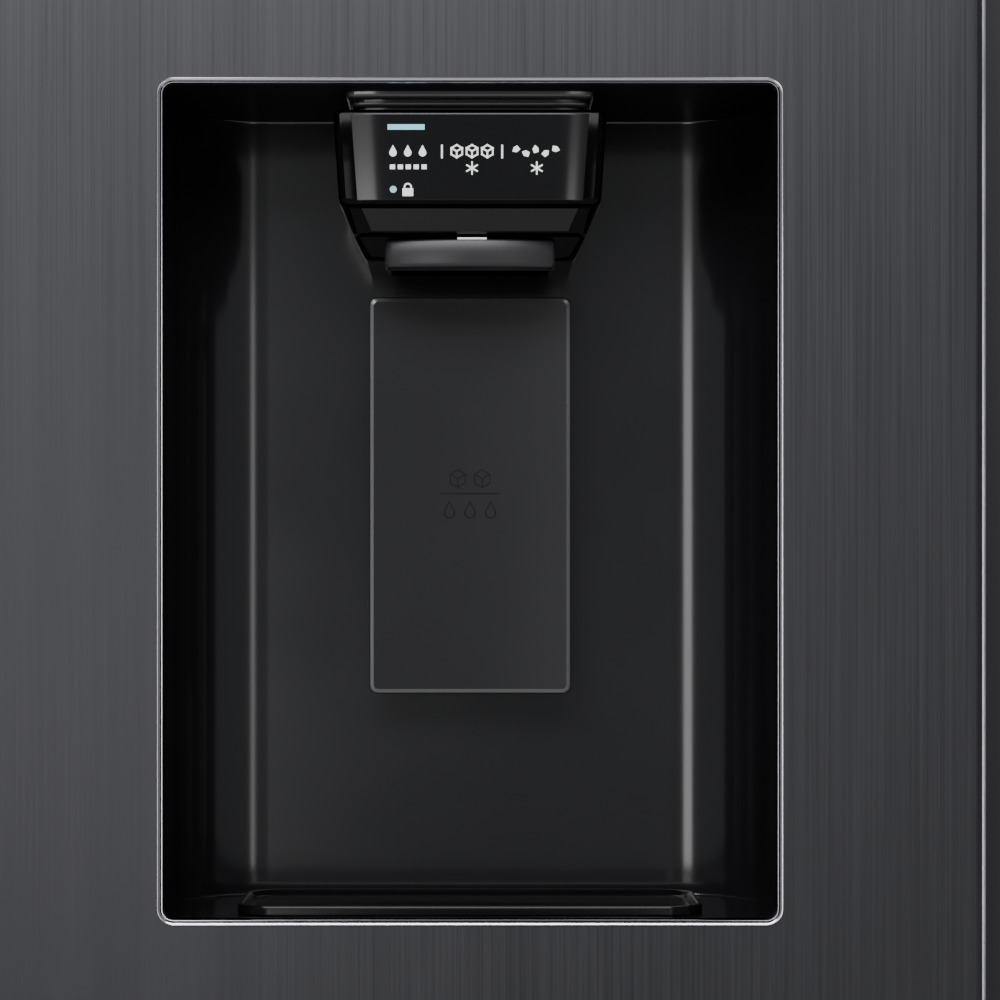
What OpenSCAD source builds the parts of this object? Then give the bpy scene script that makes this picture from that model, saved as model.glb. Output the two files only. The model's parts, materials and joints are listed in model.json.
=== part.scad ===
// Side by side refrigerator with an ice and water dispenser in the freezer door.
// The origin is the middle of the footprint, on the floor. The doors face -Y and +Z is up.
// Every size is in millimetres. A pair such as [a, b] is a low and a high limit along one axis.

/* [Overall] */
// Width over the cabinet and the doors
overall_w = 912; // [860:1:1100]
// Depth from the dispenser trim to the rear cover
overall_d = 850; // [760:1:1020]
// Height to the top of the hinge covers
overall_h = 1780; // [1500:1:2140]

/* [Cabinet] */
// Clear height under the cabinet floor
case_clear = 38; // [36:1:50]
// Steel thickness of the outer wrap
shell_t = 1.2; // [0.8:0.1:2]
// Steel thickness of the rear, floor and front panels
panel_t = 1.5; // [1:0.1:3]
// Outer side wall, from the outside to the compartment
side_wall = 53; // [45:1:70]
// Top wall, from the outside to the compartment
top_wall = 60; // [50:1:80]
// Floor wall, from the outside to the compartment
floor_wall = 72; // [60:1:90]
// Rear wall, from the outside to the compartment
back_wall = 63; // [50:1:80]
// Divider between the two compartments
mullion_w = 64; // [62:1:90]
// Wall of every plastic liner
liner_t = 2; // [1.5:0.1:3]
// Depth of the machine compartment
machine_d = 230; // [215:1:280]
// Height of the machine compartment
machine_h = 262; // [240:1:320]
// Depth of the vented rear cover
rear_cover_d = 12; // [8:1:20]

/* [Doors] */
// Width of the freezer door's front skin
freezer_skin_w = 400; // [380:1:440]
// Width of the recessed grip beside each skin
grip_w = 19; // [14:1:24]
// Gap between the two doors
door_gap = 6; // [5:0.5:10]
// Thickness of each door, without its seal
door_t = 92; // [88:1:110]
// Thickness of the door seal
gasket_t = 12; // [10:0.5:16]
// Steel thickness of the door skin
skin_t = 0.8; // [0.6:0.1:1.5]
// Radius of the skin's front corners
skin_r = 4; // [2:0.5:8]
// Height of the plastic end caps
cap_h = 18; // [16:1:30]
// Depth of the finger pocket behind the skin
pocket_d = 42; // [34:1:50]
// How far the finger pocket reaches behind the skin
undercut = 20; // [14:1:30]
// Height of one door bin
bin_h = 120; // [90:1:150]
// Depth of one door bin
bin_d = 100; // [80:1:110]
// Distance between door bins
bin_pitch = 205; // [180:1:260]

/* [Dispenser] */
// Width over the dispenser trim
disp_w = 243; // [225:1:255]
// Height over the dispenser trim
disp_h = 329; // [310:1:360]
// Width of the trim ring
trim_w = 2.4; // [1.5:0.1:5]
// How far the trim stands in front of the skin
trim_proud = 1; // [0.5:0.1:2]
// Corner radius of the trim
trim_r = 6.5; // [3:0.5:10]
// Depth of the recess behind the skin
recess_d = 84; // [80:1:90]
// Radius of the recess's rear corners
recess_r = 35; // [20:1:45]
// Wall of the recess moulding
tub_t = 2.2; // [1.5:0.1:3]
// Width of the paddle
paddle_w = 83; // [70:1:95]
// Height of the paddle
paddle_h = 163; // [140:1:180]
// Height of the ice maker and its bin above the dispenser
ice_bay_h = 374; // [360:1:420]

/* [Interior] */
// Number of shelves above the drawers
shelf_count = 5; // [3:1:6]
// Height of the zone that holds the two drawers
drawer_zone_h = 410; // [380:1:460]
// Wall of the drawers and bins
drawer_t = 2.6; // [2:0.1:4]

/* [Running gear] */
// Radius of the rear rollers
roller_r = 16; // [12:1:17]
// Radius of the levelling feet's discs
foot_r = 18; // [14:1:20]
// Radius of the door hinge pins
pin_r = 6; // [5:0.5:8]
// Radial clearance of every turning fit
run_fit = 0.05; // [0.02:0.01:0.1]

/* [Hidden] */
$fn = 48;
cut = 1; // overlap of a cutting shape past the face that it opens
seam = 0.1; // joint between two flat panels of a plastic lining

// A pair of limits, moved along by a distance
function at(place, limits) = [place + limits[0], place + limits[1]];

// Cabinet planes
hinge_cover_h = 28;
half_w = overall_w / 2;
skin_y = -overall_d / 2 + trim_proud;
door_back = skin_y + door_t;
case_front = door_back + gasket_t;
case_back = overall_d / 2 - rear_cover_d;
case_z = [case_clear, overall_h - hinge_cover_h];
door_z = [case_z[0] + 24, case_z[1] - 4];

// Doors: widths with their grips, and the middle of the gap between them
freezer_door_w = freezer_skin_w + grip_w;
fridge_door_w = overall_w - freezer_door_w - door_gap;
fridge_skin_w = fridge_door_w - grip_w;
mullion_x = -half_w + freezer_door_w + door_gap / 2;

// Compartments
freezer_x = [-half_w + side_wall, mullion_x - mullion_w / 2];
fridge_x = [mullion_x + mullion_w / 2, half_w - side_wall];
inner_y = [case_front + panel_t, case_back - back_wall];
inner_z = [case_z[0] + floor_wall, case_z[1] - top_wall];
machine_y = case_back - machine_d;
machine_z = case_z[0] + machine_h;
step_y = machine_y - 50;
step_z = machine_z + 50;
drawer_top = inner_z[0] + drawer_zone_h;

// Hinge axes, measured from each door's outer edge and front
hinge_u = 16;
hinge_y = skin_y + 45;
hinge_plate_t = 5;
bore_depth = cap_h - 3;

// Door linings: ridges that carry the bins, clear of the compartment walls as the door swings
ridge_w = 20;
ridge_d = 62;
ridge_hinge_u = side_wall + 3;
latch_room = 26;
ridge_z = [drawer_top + 10, door_z[1] - 60];

// Dispenser, centred on the freezer skin
disp_x = -half_w + freezer_skin_w / 2;
disp_z = [ridge_z[1] - ice_bay_h - disp_h, ridge_z[1] - ice_bay_h];
recess_half = disp_w / 2 - trim_w;
recess_z = [disp_z[0] + trim_w, disp_z[1] - trim_w];
trim_depth = 6;
bulge_d = 45;
bulge_z = [disp_z[0] - 35, disp_z[1] + 90];
housing_top = recess_z[1];
nozzle_z = housing_top - 68;
paddle_depth = 62;
paddle_t = 5;
paddle_top = nozzle_z - 8;
paddle_axis = [skin_y + paddle_depth + paddle_t + 6, paddle_top - 8];
flap_axis = [skin_y + 74, housing_top - 4];

// Shelves
shelf_pitch = (inner_z[1] - drawer_top - 60) / shelf_count;
shelf_front = case_front + 120;
freezer_shelf_front = case_front + 155;
duct_front = inner_y[1] - 62;

// Running gear
rail_w = 30;
rail_x = half_w - 45;
rail_z = 14;
foot_y = case_front + 35;
roller_y = case_back - 73;
roller_w = 18;
axle_r = 4;
stem_r = 5;

// Colours
graphite = [0.23, 0.23, 0.25];
white = [0.93, 0.93, 0.93];
black = [0.05, 0.05, 0.06];
steel = [0.7, 0.7, 0.72];

// ---------------------------------------------------------------- shared shapes

module slab(x, y, z) {
    translate([x[0], y[0], z[0]]) cube([x[1] - x[0], y[1] - y[0], z[1] - z[0]]);
}

// A cylinder along X, Y or Z that starts at a point
module rod_x(start, r, length) {
    translate(start) rotate([0, 90, 0]) cylinder(r = r, h = length);
}

module rod_y(start, r, length) {
    translate(start) rotate([-90, 0, 0]) cylinder(r = r, h = length);
}

module rod_z(start, r, length) {
    translate(start) cylinder(r = r, h = length);
}

module on_both_sides() {
    children();
    mirror([1, 0, 0]) children();
}

// Points of an arc, from one angle to another
function arc(centre, r, from, to, steps = 10) = [
    for (i = [0:steps])
        let (turn = from + (to - from) * i / steps)
        centre + r * [cos(turn), sin(turn)]
];

// A flat ring in the XZ plane, with a thickness along Y
module ring_xz(x, z, width, y, r = 0) {
    difference() {
        plate_xz(x, z, y, r);
        plate_xz([x[0] + width, x[1] - width], [z[0] + width, z[1] - width], [y[0] - cut, y[1] + cut],
                 max(r - width, 0));
    }
}

// A plate in the XZ plane with rounded corners
module plate_xz(x, z, y, r = 0) {
    if (r > 0) {
        translate([0, y[1], 0]) rotate([90, 0, 0]) linear_extrude(y[1] - y[0]) rounded(x, z, r);
    } else {
        slab(x, y, z);
    }
}

module rounded(a, b, r) {
    translate([a[0] + r, b[0]]) square([a[1] - a[0] - 2 * r, b[1] - b[0]]);
    translate([a[0], b[0] + r]) square([a[1] - a[0], b[1] - b[0] - 2 * r]);
    for (i = [a[0] + r, a[1] - r], j = [b[0] + r, b[1] - r]) translate([i, j]) circle(r = r);
}

// An open box with a floor: a drawer, a bin or a bucket
module tray(x, y, z, wall) {
    difference() {
        slab(x, y, z);
        slab([x[0] + wall, x[1] - wall], [y[0] + wall, y[1] - wall], [z[0] + wall, z[1] + cut]);
    }
}

// ---------------------------------------------------------------- cabinet

// One compartment's space, grown by a wall on every side but the front
module compartment(x, wall, front) {
    wide = [x[0] - wall, x[1] + wall];
    slab(wide, [inner_y[0] - front, inner_y[1] + wall], [step_z - wall, inner_z[1] + wall]);
    slab(wide, [inner_y[0] - front, step_y + wall], [inner_z[0] - wall, step_z]);
}

module cabinet_shell() {
    color(graphite) difference() {
        slab([-half_w, half_w], [case_front, case_back], case_z);
        slab([-half_w + shell_t, half_w - shell_t], [case_front - cut, case_back + cut],
             [case_z[0] - cut, case_z[1] - shell_t]);
    }
}

module cabinet_foam() {
    color("khaki") difference() {
        slab([-half_w + shell_t, half_w - shell_t], [inner_y[0], case_back - panel_t],
             [case_z[0] + panel_t, case_z[1] - shell_t]);
        compartment(freezer_x, liner_t, cut);
        compartment(fridge_x, liner_t, cut);
        slab([-half_w, half_w], [machine_y - panel_t, case_back], [case_z[0], machine_z + panel_t]);
    }
}

// Plastic lining of one compartment: flat panels round the space, and ledges on its two sides
module liner(x, ledge_front) {
    wide = [x[0] - liner_t, x[1] + liner_t];
    between = x + [seam, -seam];
    ledge_w = 6;
    ledge_h = 5;
    color(white) {
        slab(wide, [inner_y[0], step_y + liner_t], at(inner_z[0], [-liner_t, 0]));
        slab(between, at(step_y, [0, liner_t]), [inner_z[0] + seam, step_z - liner_t - seam]);
        slab(between, [step_y, inner_y[1] + liner_t], at(step_z, [-liner_t, 0]));
        slab(between, at(inner_y[1], [0, liner_t]), [step_z + seam, inner_z[1] - seam]);
        slab(wide, [inner_y[0], inner_y[1] + liner_t], at(inner_z[1], [0, liner_t]));
        for (side = [[wide[0], x[0]], [x[1], wide[1]]]) {
            slab(side, [inner_y[0], step_y + liner_t], [inner_z[0] + seam, step_z - liner_t - seam]);
            slab(side, [inner_y[0], inner_y[1] + liner_t], [step_z - liner_t, inner_z[1] - seam]);
        }
        for (side = [[between[0], x[0] + ledge_w], [x[1] - ledge_w, between[1]]]) {
            for (i = [0:shelf_count - 1])
                slab(side, [ledge_front, inner_y[1] - 90], at(shelf_z(i), [-ledge_h, 0]));
            for (level = [0, 1])
                slab(side, [case_front + 150, step_y - 10], at(drawer_z(level)[1] - 18, [-ledge_h, 0]));
        }
    }
}

function shelf_z(i) = drawer_top + 5 + i * shelf_pitch;
function drawer_z(level) =
    at(inner_z[0], [6 + level * drawer_zone_h / 2, (level + 1) * drawer_zone_h / 2 - 8]);

module freezer_liner() { liner(freezer_x, freezer_shelf_front); }

module fridge_liner() { liner(fridge_x, shelf_front); }

// Steel front that the door seals close on, with one window for each compartment
module front_frame() {
    color(steel) difference() {
        slab([-half_w + shell_t, half_w - shell_t], [case_front, inner_y[0]],
             [case_z[0], case_z[1] - shell_t]);
        for (x = [freezer_x, fridge_x]) slab(x, [case_front - cut, inner_y[0] + cut], inner_z);
    }
}

// Rear sheet, folded forward over the machine compartment and down in front of it
module back_panel() {
    wide = [-half_w + shell_t, half_w - shell_t];
    color(steel) {
        slab(wide, [case_back - panel_t, case_back], [machine_z, case_z[1] - shell_t]);
        slab(wide, [machine_y - panel_t, case_back], [machine_z, machine_z + panel_t]);
        slab(wide, [machine_y - panel_t, machine_y], [case_z[0] + panel_t, machine_z + panel_t]);
    }
}

// Side rails with their bosses and axles, the cross bar, the floor sheet and the compressor tray
module base_frame() {
    cheek_t = 3;
    boss_r = 9;
    rail_y = [case_front + 12, case_back - 8];
    color(steel) {
        on_both_sides() difference() {
            union() {
                slab(at(rail_x, [-rail_w / 2, rail_w / 2]), rail_y, [case_z[0] - cheek_t, case_z[0]]);
                for (x = [rail_x - rail_w / 2, rail_x + rail_w / 2 - cheek_t])
                    slab([x, x + cheek_t], [roller_y - 45, rail_y[1]], [rail_z, case_z[0]]);
                rod_x([rail_x - rail_w / 2, roller_y, roller_r], axle_r, rail_w);
                rod_z([rail_x, foot_y, rail_z + 6], boss_r, case_z[0] - rail_z - 6);
            }
            rod_z([rail_x, foot_y, 0], stem_r + run_fit, case_z[0] + cut);
        }
        slab([-rail_x, rail_x], [foot_y + 20, foot_y + 40], [rail_z + 6, case_z[0]]);
        slab([-half_w + shell_t, half_w - shell_t], [inner_y[0], machine_y],
             at(case_z[0], [0, panel_t]));
        slab([-half_w + shell_t, half_w - shell_t], [machine_y - panel_t, rail_y[1]],
             [case_z[0] - cheek_t, case_z[0]]);
    }
}

// Vented cover over the machine compartment
module machine_cover() {
    slot_pitch = 26;
    wide = half_w - 12;
    color(graphite) difference() {
        slab([-wide, wide], [case_back, overall_d / 2], [case_z[0], machine_z + 20]);
        slab([-wide + 2, wide - 2], [case_back - cut, overall_d / 2 - 2], [case_z[0] + 2, machine_z - 2]);
        for (x = [-wide + 60:slot_pitch:wide - 60], z = [case_z[0] + 40, case_z[0] + 130])
            slab([x, x + 12], [overall_d / 2 - 2 - cut, overall_d / 2 + cut], [z, z + 66]);
    }
}

module toe_grille() {
    grille_y = [case_front - 14, case_front - 9];
    grille_z = [12, case_z[0] + 10];
    wide = half_w - 8;
    color(black) {
        difference() {
            slab([-wide, wide], grille_y, grille_z);
            for (x = [-wide + 50:34:wide - 74])
                slab([x, x + 24], grille_y + [-cut, cut], [grille_z[0] + 8, grille_z[0] + 14]);
        }
        for (x = [-240, 0, 220])
            slab([x, x + 20], [grille_y[1] - cut, case_front + 55], [grille_z[0] + 16, grille_z[0] + 20]);
    }
}

// ---------------------------------------------------------------- cooling

// Welded steel can on a foot plate with four rubber-bushed feet
module compressor() {
    can = [half_w - 160, case_back - 115];
    can_r = 74;
    color(black) {
        translate([can[0], can[1], case_z[0] + 14]) cylinder(r = can_r, h = 100);
        translate([can[0], can[1], case_z[0] + 114]) intersection() {
            sphere(r = can_r, $fn = 64);
            cylinder(r = can_r, h = can_r);
        }
        slab(at(can[0], [-88, 88]), at(can[1], [-60, 60]), at(case_z[0], [8, 14]));
        for (x = [-76, 76], y = [-48, 48]) rod_z([can[0] + x, can[1] + y, case_z[0]], 9, 8.5);
        rod_y([can[0] - 30, can[1] - 105, case_z[0] + 70], 4, 60);
    }
}

// Tube runs and end plates of the fan-cooled condenser
module condenser_coil() {
    x = [-half_w + 60, -half_w + 350];
    tube_r = 3;
    runs = 5;
    color("darkgoldenrod") {
        for (row = [0:2], i = [0:runs - 1])
            rod_x([x[0], machine_y + 50 + 50 * row, case_z[0] + 30 + 34 * i], tube_r, x[1] - x[0]);
        for (end = [x[0], x[1] - 3])
            slab([end, end + 3], at(machine_y, [30, 170]), [case_z[0], case_z[0] + 190]);
    }
}

fan_x = -half_w + 420;
fan_mid = [machine_y + 100, case_z[0] + 110];

// Ring shroud and motor of the condenser fan, which blows along X
module condenser_fan_motor() {
    color(black) difference() {
        union() {
            slab([fan_x, fan_x + 4], at(fan_mid[0], [-92, 92]), [case_z[0], fan_mid[1] + 92]);
            rod_x([fan_x + 40, fan_mid[0], fan_mid[1]], 22, 40);
            for (a = [45, 135, 225, 315])
                translate([0, fan_mid[0], fan_mid[1]]) rotate([a, 0, 0])
                    slab([fan_x, fan_x + 44], [-4, 4], [84, 89]);
            for (a = [45, 135, 225, 315])
                translate([0, fan_mid[0], fan_mid[1]]) rotate([a, 0, 0])
                    slab([fan_x + 40, fan_x + 46], [-4, 4], [18, 89]);
        }
        rod_x([fan_x - cut, fan_mid[0], fan_mid[1]], 82, 4 + 2 * cut);
        rod_x([fan_x + 30, fan_mid[0], fan_mid[1]], 3 + run_fit, 30);
    }
}

// A fan wheel: hub, shaft and pitched blades, turning about X at the origin
module fan_wheel(r, hub_r, blades, shaft_length) {
    rod_x([-8, 0, 0], hub_r, 16);
    rod_x([0, 0, 0], 3, shaft_length);
    for (i = [0:blades - 1]) rotate([i * 360 / blades, 0, 0])
        translate([0, 0, hub_r - 3]) rotate([0, 0, 35]) slab([-1, 1], [-14, 14], [0, r - hub_r]);
}

module condenser_fan_blade() {
    color(black) translate([fan_x + 20, fan_mid[0], fan_mid[1]]) fan_wheel(74, 16, 5, 35);
}

evap_fan = [(freezer_x[0] + freezer_x[1]) / 2, inner_y[1] - 34, drawer_top + 520];

// Aluminium fins on a run of tubes, behind the freezer's air duct
module evaporator() {
    x = [freezer_x[0] + 40, freezer_x[1] - 40];
    y = at(inner_y[1], [-48, -6]);
    z = [step_z + 40, evap_fan[2] - 90];
    color("silver") {
        for (i = [0:11]) slab(at(x[0] + (x[1] - x[0] - 1) * i / 11, [0, 1]), y, z);
        for (zt = [z[0] + 20:50:z[1] - 20], yt = [y[0] + 11, y[1] - 11])
            rod_x([x[0] - 8, yt, zt], 4, x[1] - x[0] + 16);
    }
}

// Panel over the evaporator, with its air slots, the fan ring and the fan's motor
module air_duct() {
    x = freezer_x + [4, -4];
    y = at(duct_front, [0, 3]);
    motor_y = inner_y[1] - 14;
    color(white) {
        difference() {
            slab(x, y, [step_z + 6, inner_z[1] - 6]);
            rod_y([evap_fan[0], y[0] - cut, evap_fan[2]], 62, 3 + 2 * cut);
            for (z = [step_z + 30, evap_fan[2] + 160, evap_fan[2] + 320], i = [-2:2])
                if (z + 14 < inner_z[1] - 10)
                    slab(at(evap_fan[0] + 48 * i, [-18, 18]), [y[0] - cut, y[1] + cut], [z, z + 12]);
        }
        for (xr = [x[0], x[1] - 4]) slab([xr, xr + 4], [y[0], inner_y[1]], [step_z + 6, inner_z[1] - 6]);
        difference() {
            union() {
                rod_y([evap_fan[0], motor_y, evap_fan[2]], 20, inner_y[1] - motor_y);
                slab([x[0] + 2, x[1] - 2], [inner_y[1] - 5, inner_y[1]], at(evap_fan[2], [-8, 8]));
            }
            rod_y([evap_fan[0], motor_y - cut, evap_fan[2]], 3 + run_fit, 12);
        }
    }
}

module evaporator_fan_blade() {
    color(black) translate(evap_fan) rotate([0, 0, 90]) fan_wheel(54, 13, 5, 28);
}

// Water valve with its threaded inlet, the line clamp and the mains inlet
inlet_pos = [-half_w + 120, case_back, machine_z + 70];
module rear_fittings() {
    color("dimgray") {
        slab(at(inlet_pos[0], [-30, 30]), [case_back, case_back + 2], at(inlet_pos[2], [-28, 40]));
        slab(at(inlet_pos[0], [-16, 16]), [case_back + 2, case_back + 11], at(inlet_pos[2], [-14, 30]));
        rod_z([inlet_pos[0], case_back + 6.5, inlet_pos[2] - 26], 5, 14);
        slab(at(half_w - 150, [-18, 18]), [case_back, case_back + 10], at(machine_z, [50, 76]));
    }
}

// ---------------------------------------------------------------- hinges and running gear

hinge_x = half_w - hinge_u;
plate_x = [hinge_x - 34, hinge_x + 12];

module top_hinges() {
    color(steel) on_both_sides() {
        slab(plate_x, [hinge_y - 12, case_front + 60], at(case_z[1], [0, hinge_plate_t]));
        rod_z([hinge_x, hinge_y, door_z[1] - bore_depth + 1], pin_r, case_z[1] - door_z[1] + bore_depth);
    }
}

module bottom_hinges() {
    top = door_z[0] - 4;
    color(steel) on_both_sides() {
        slab(plate_x, [hinge_y - 12, case_front], [top - hinge_plate_t, top]);
        slab(plate_x, [case_front - 4, case_front], [case_z[0] + 3, top]);
        rod_z([hinge_x, hinge_y, top - 1], pin_r, door_z[0] + bore_depth - top);
    }
}

module hinge_covers() {
    cover_x = [plate_x[0] - 24, half_w - 2];
    cover_y = [skin_y + 14, case_front + 90];
    color(black) on_both_sides() difference() {
        slab(cover_x, cover_y, [case_z[1], overall_h]);
        slab([cover_x[0] + 2, cover_x[1] - 2], [cover_y[0] + 2, cover_y[1] - 2],
             [case_z[1] - cut, overall_h - 2]);
    }
}

module levelling_foot() {
    color(black) {
        rod_z([rail_x, foot_y, 0], foot_r, 7);
        rod_z([rail_x, foot_y, 6], stem_r, case_z[0] - 7);
        rod_z([rail_x, foot_y, 7], 8, 5);
    }
}

module left_foot() { mirror([1, 0, 0]) levelling_foot(); }

module right_foot() { levelling_foot(); }

module roller() {
    color(black) difference() {
        union() {
            rod_x([rail_x - roller_w / 2, roller_y, roller_r], roller_r, roller_w);
            rod_x([rail_x - roller_w / 2 - 1.5, roller_y, roller_r], 8, roller_w + 3);
        }
        rod_x([rail_x - rail_w / 2, roller_y, roller_r], axle_r + run_fit, rail_w);
    }
}

module left_roller() { mirror([1, 0, 0]) roller(); }

module right_roller() { roller(); }

// ---------------------------------------------------------------- interior

module freezer_shelves() {
    bars = 9;
    x = freezer_x + [1, -1];
    color(white) for (i = [0:shelf_count - 1]) difference() {
        slab(x, [freezer_shelf_front, duct_front - 4], at(shelf_z(i), [0, 8]));
        for (b = [0:bars - 1])
            slab(at(x[0] + 22 + (x[1] - x[0] - 38) * b / bars, [0, 20]),
                 [freezer_shelf_front + 22, duct_front - 26], at(shelf_z(i), [-cut, 8 + cut]));
    }
}

frame_w = 12;
glass_t = 4;
module shelf_glass() {
    color("lightblue", 0.4)
        for (i = [0:shelf_count - 1])
            slab(fridge_x + [frame_w, -frame_w], [shelf_front + frame_w, duct_front - frame_w],
                 at(shelf_z(i), [4, 4 + glass_t]));
}

// White rims that hold each glass plate from below and around
module shelf_frames() {
    color(white) for (i = [0:shelf_count - 1]) difference() {
        slab(fridge_x + [1, -1], [shelf_front, duct_front], at(shelf_z(i), [0, 14]));
        slab(fridge_x + [frame_w, -frame_w], [shelf_front + frame_w, duct_front - frame_w],
             at(shelf_z(i), [4, 14 + cut]));
        slab(fridge_x + [frame_w + 6, -frame_w - 6], [shelf_front + frame_w + 6, duct_front - frame_w - 6],
             at(shelf_z(i), [-cut, 5]));
        slab(fridge_x + [frame_w, -frame_w], at(shelf_front, [-cut, frame_w]),
             at(shelf_z(i), [8, 15]));
    }
}

module lamp_panels() {
    color("white") for (x = [freezer_x, fridge_x]) {
        mid = (x[0] + x[1]) / 2;
        slab(at(mid, [-80, 80]), at(case_front, [200, 260]), at(inner_z[1], [-8, 0]));
        for (side = [x[0], x[1] - 4])
            slab([side, side + 4], at(case_front, [60, 100]), [drawer_top + 40, inner_z[1] - 60]);
    }
}

filter_pos = [fridge_x[1] - 70, case_front + 330, inner_z[1] - 38];
filter_r = 24;
neck_r = 12;
module water_filter() {
    color(white) {
        rod_y(filter_pos, filter_r, 190);
        rod_y(filter_pos + [0, 190, 0], neck_r, 22);
        translate(filter_pos) slab([-filter_r + 4, filter_r - 4], [-14, 1], [-3, 3]);
    }
}

module filter_head() {
    color("lightgray") difference() {
        union() {
            slab(at(filter_pos[0], [-30, 30]), at(filter_pos[1], [191, 240]),
                 [filter_pos[2] - 28, inner_z[1]]);
            slab(at(filter_pos[0], [-30, 30]), at(filter_pos[1], [0, 240]), at(inner_z[1], [-6, 0]));
        }
        rod_y(filter_pos + [0, 190, 0], neck_r + run_fit, 24);
    }
}

// A drawer with a raised front, a finger lip and a rim that rides over the runners
module drawer(x, level) {
    z = drawer_z(level);
    y = [case_front + 150, step_y - 14];
    body_x = x + [9, -9];
    rim_h = 3;
    color("lightcyan", 0.6) {
        tray(body_x, y, z, drawer_t);
        for (side = [[x[0] + 1.5, body_x[0] + 1], [body_x[1] - 1, x[1] - 1.5]])
            slab(side, [y[0], y[1]], at(z[1] - 17.5, [0, rim_h]));
        slab([body_x[0] + 40, body_x[1] - 40], [y[0] - 8, y[0] + 1], at(z[1], [-6, 0]));
    }
}

module upper_crisper() { drawer(fridge_x, 1); }

module lower_crisper() { drawer(fridge_x, 0); }

module upper_freezer_drawer() { drawer(freezer_x, 1); }

module lower_freezer_drawer() { drawer(freezer_x, 0); }

// ---------------------------------------------------------------- doors

// Door pieces are drawn from the hinge edge at u = 0 towards the latch edge
module at_freezer_door() { translate([-half_w, 0, 0]) children(); }

module at_fridge_door() { translate([half_w, 0, 0]) mirror([1, 0, 0]) children(); }

module upright(z) { translate([0, 0, z[0]]) linear_extrude(z[1] - z[0]) children(); }

// Plan of a sheet-metal front, grown inwards by a wall
module front_plan(skin_w, wall) {
    r = skin_r - wall;
    u = [wall, skin_w - wall];
    y = [skin_y + wall, door_back - liner_t + (wall > 0 ? cut : 0)];
    translate([u[0] + r, y[0]]) square([u[1] - u[0] - 2 * r, y[1] - y[0]]);
    translate([u[0], y[0] + r]) square([u[1] - u[0], y[1] - y[0] - r]);
    for (i = [u[0] + r, u[1] - r]) translate([i, y[0] + r]) circle(r = r);
}

hem_d = 12;
module door_skin(skin_w) {
    upright(door_z) difference() {
        front_plan(skin_w, 0);
        front_plan(skin_w, skin_t);
        translate([skin_w - skin_t - cut, skin_y + hem_d]) square([skin_t + 2 * cut, door_t]);
    }
}

module freezer_door_skin() {
    color(graphite) difference() {
        at_freezer_door() door_skin(freezer_skin_w);
        plate_xz(at(disp_x, [-disp_w / 2, disp_w / 2]), disp_z, at(skin_y, [-cut, hem_d]), trim_r);
    }
}

module fridge_door_skin() { color(graphite) at_fridge_door() door_skin(fridge_skin_w); }

// Plan of the plastic end caps: it fills the skin and closes the finger pocket
module cap_plan(skin_w, door_w) {
    back = door_back - liner_t;
    pocket_y = skin_y + pocket_d;
    intersection() {
        front_plan(skin_w, skin_t);
        translate([0, skin_y]) square([skin_w, back - skin_y]);
    }
    translate([skin_w - undercut, pocket_y]) square([door_w - skin_w + undercut, back - pocket_y]);
}

module door_caps(skin_w, door_w) {
    color(black) for (z = [[door_z[0], door_z[0] + cap_h], [door_z[1] - cap_h, door_z[1]]])
        difference() {
            upright(z) cap_plan(skin_w, door_w);
            rod_z([hinge_u, hinge_y, door_z[0] - cut], pin_r + run_fit, bore_depth + cut);
            rod_z([hinge_u, hinge_y, door_z[1] - bore_depth], pin_r + run_fit, bore_depth + cut);
        }
}

module freezer_door_caps() { at_freezer_door() door_caps(freezer_skin_w, freezer_door_w); }

module fridge_door_caps() { at_fridge_door() door_caps(fridge_skin_w, fridge_door_w); }

inside_caps = [door_z[0] + cap_h, door_z[1] - cap_h];
grip_t = 2;

// Finger pocket: a lip behind the skin's edge, a rear wall and the door's side wall
module door_grip(skin_w, door_w) {
    back = door_back - liner_t;
    wall_u = skin_w - undercut;
    floor_y = skin_y + pocket_d;
    color(black) upright(inside_caps) polygon([
        [wall_u - grip_t, skin_y + skin_t], [skin_w - skin_r, skin_y + skin_t],
        [skin_w - skin_t, skin_y + skin_r], [skin_w - skin_t, skin_y + hem_d],
        [wall_u, skin_y + hem_d], [wall_u, floor_y], [door_w, floor_y], [door_w, back],
        [door_w - grip_t, back], [door_w - grip_t, floor_y + grip_t], [wall_u - grip_t, floor_y + grip_t]
    ]);
}

module freezer_door_grip() { at_freezer_door() door_grip(freezer_skin_w, freezer_door_w); }

module fridge_door_grip() { at_fridge_door() door_grip(fridge_skin_w, fridge_door_w); }

// Where a door's two ridges stand
function latch_wall(door_w) = door_w + door_gap / 2 - mullion_w / 2;
function ridges(door_w) = [
    [ridge_hinge_u, ridge_hinge_u + ridge_w],
    [latch_wall(door_w) - latch_room - ridge_w, latch_wall(door_w) - latch_room]
];
function between_ridges(door_w) = [ridges(door_w)[0][1], ridges(door_w)[1][0]];

// Two ridges and, on the freezer door, the block behind the dispenser, shrunk by a wall
module door_ridges(door_w, wall, bulged) {
    y = [door_back - liner_t - (wall > 0 ? cut : 0), door_back + ridge_d - wall];
    for (u = ridges(door_w)) slab(u + [wall, -wall], y, ridge_z + [wall, -wall]);
    if (bulged)
        slab(between_ridges(door_w) + [-wall, wall], [y[0], door_back + bulge_d - wall],
             bulge_z + [wall, -wall]);
}

// Joints of a door's lining: along and under its ridges, and across it at one height
module liner_seams(door_w, height) {
    y = [door_back - liner_t - cut, door_back + door_t];
    for (u = ridges(door_w)) {
        slab(at(u[0], [-seam, 0]), y, [door_z[0] - cut, height]);
        slab(at(u[1], [0, seam]), y, [door_z[0] - cut, height]);
    }
    for (z = [ridge_z[0], height]) slab([-cut, door_w + cut], y, at(z, [-seam, 0]));
}

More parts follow.
